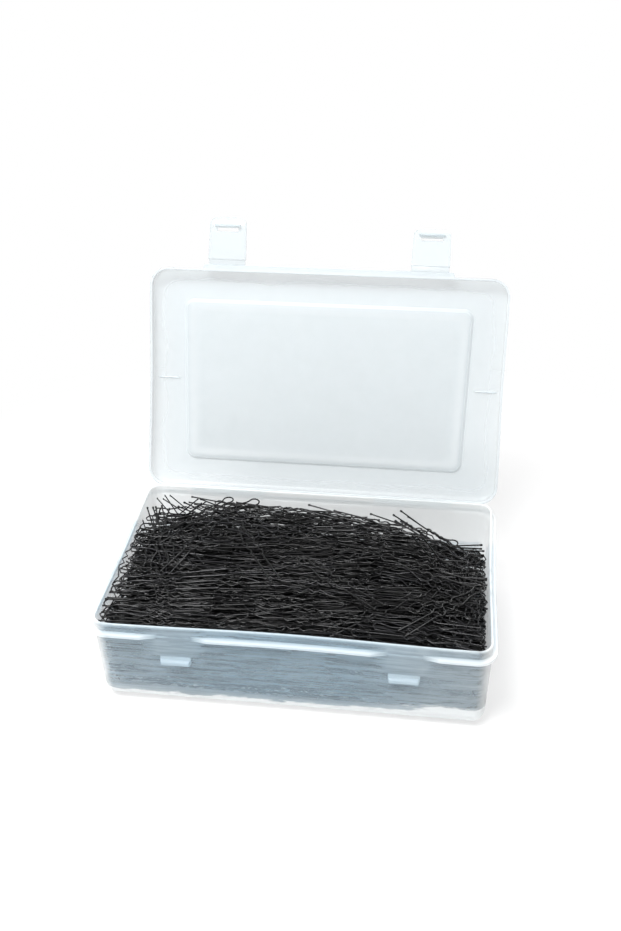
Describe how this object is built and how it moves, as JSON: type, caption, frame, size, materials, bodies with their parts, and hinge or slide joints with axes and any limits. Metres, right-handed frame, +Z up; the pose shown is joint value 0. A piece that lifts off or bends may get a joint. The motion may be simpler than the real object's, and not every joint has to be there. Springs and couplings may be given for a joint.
{
  "type": "hairpin box",
  "caption": "Open hinged clear plastic box with two snap latches, full of black wavy wire hairpins.",
  "frame": {"origin": "middle of the tray's flat underside", "axes": "+X to the right along the front, -Y towards the front where the latches close, +Z up; the lid stands open at the back"},
  "size_m": [0.1824, 0.18, 0.172],
  "materials": {
    "clear_polypropylene": "translucent, slightly milky, satin inside and glossy outside",
    "label_paper": "matte, blank",
    "black_lacquered_steel": "satin black lacquer"
  },
  "bodies": {
    "tray_body": {"tray": "clear_polypropylene", "hairpin_heap": "black_lacquered_steel", "hinge_strap_left": "clear_polypropylene", "hinge_strap_right": "clear_polypropylene", "hairpin_01": "black_lacquered_steel", "hairpin_02": "black_lacquered_steel", "hairpin_03": "black_lacquered_steel", "hairpin_04": "black_lacquered_steel", "hairpin_05": "black_lacquered_steel", "hairpin_06": "black_lacquered_steel", "hairpin_07": "black_lacquered_steel", "hairpin_08": "black_lacquered_steel", "hairpin_09": "black_lacquered_steel", "hairpin_10": "black_lacquered_steel", "hairpin_11": "black_lacquered_steel", "hairpin_12": "black_lacquered_steel", "hairpin_13": "black_lacquered_steel", "hairpin_14": "black_lacquered_steel", "hairpin_15": "black_lacquered_steel", "hairpin_16": "black_lacquered_steel", "hairpin_17": "black_lacquered_steel", "hairpin_18": "black_lacquered_steel", "hairpin_19": "black_lacquered_steel", "hairpin_20": "black_lacquered_steel", "hairpin_21": "black_lacquered_steel", "hairpin_22": "black_lacquered_steel", "hairpin_23": "black_lacquered_steel", "hairpin_24": "black_lacquered_steel", "hairpin_25": "black_lacquered_steel", "hairpin_26": "black_lacquered_steel", "hairpin_27": "black_lacquered_steel", "hairpin_28": "black_lacquered_steel", "hairpin_29": "black_lacquered_steel", "hairpin_30": "black_lacquered_steel", "hairpin_31": "black_lacquered_steel", "hairpin_32": "black_lacquered_steel", "hairpin_33": "black_lacquered_steel", "hairpin_34": "black_lacquered_steel", "hairpin_35": "black_lacquered_steel", "hairpin_36": "black_lacquered_steel", "hairpin_37": "black_lacquered_steel", "hairpin_38": "black_lacquered_steel", "hairpin_39": "black_lacquered_steel", "hairpin_40": "black_lacquered_steel", "hairpin_41": "black_lacquered_steel", "hairpin_42": "black_lacquered_steel", "hairpin_43": "black_lacquered_steel", "hairpin_44": "black_lacquered_steel"},
    "lid_body": {"lid": "clear_polypropylene", "label": "label_paper", "latch_web_left": "clear_polypropylene", "latch_web_right": "clear_polypropylene"},
    "left_latch_body": {"latch_left": "clear_polypropylene"},
    "right_latch_body": {"latch_right": "clear_polypropylene"}
  },
  "joints": [
    {"name": "lid_hinge", "type": "hinge", "parent": "tray_body", "child": "lid_body", "pos_m": [0, 0.05785, 0.04365], "axis": [-1, 0, 0], "range_deg": [-113, 67], "deforming": ["hinge_strap_left", "hinge_strap_right"]},
    {"name": "left_latch_hinge", "type": "hinge", "parent": "lid_body", "child": "left_latch_body", "pos_m": [-0.0512, 0.10459, 0.152], "axis": [-1, 0, 0], "range_deg": [-102.5, 55], "deforming": ["latch_web_left"]},
    {"name": "right_latch_hinge", "type": "hinge", "parent": "lid_body", "child": "right_latch_body", "pos_m": [0.0512, 0.10459, 0.152], "axis": [-1, 0, 0], "range_deg": [-125.5, 32], "deforming": ["latch_web_right"]}
  ]
}
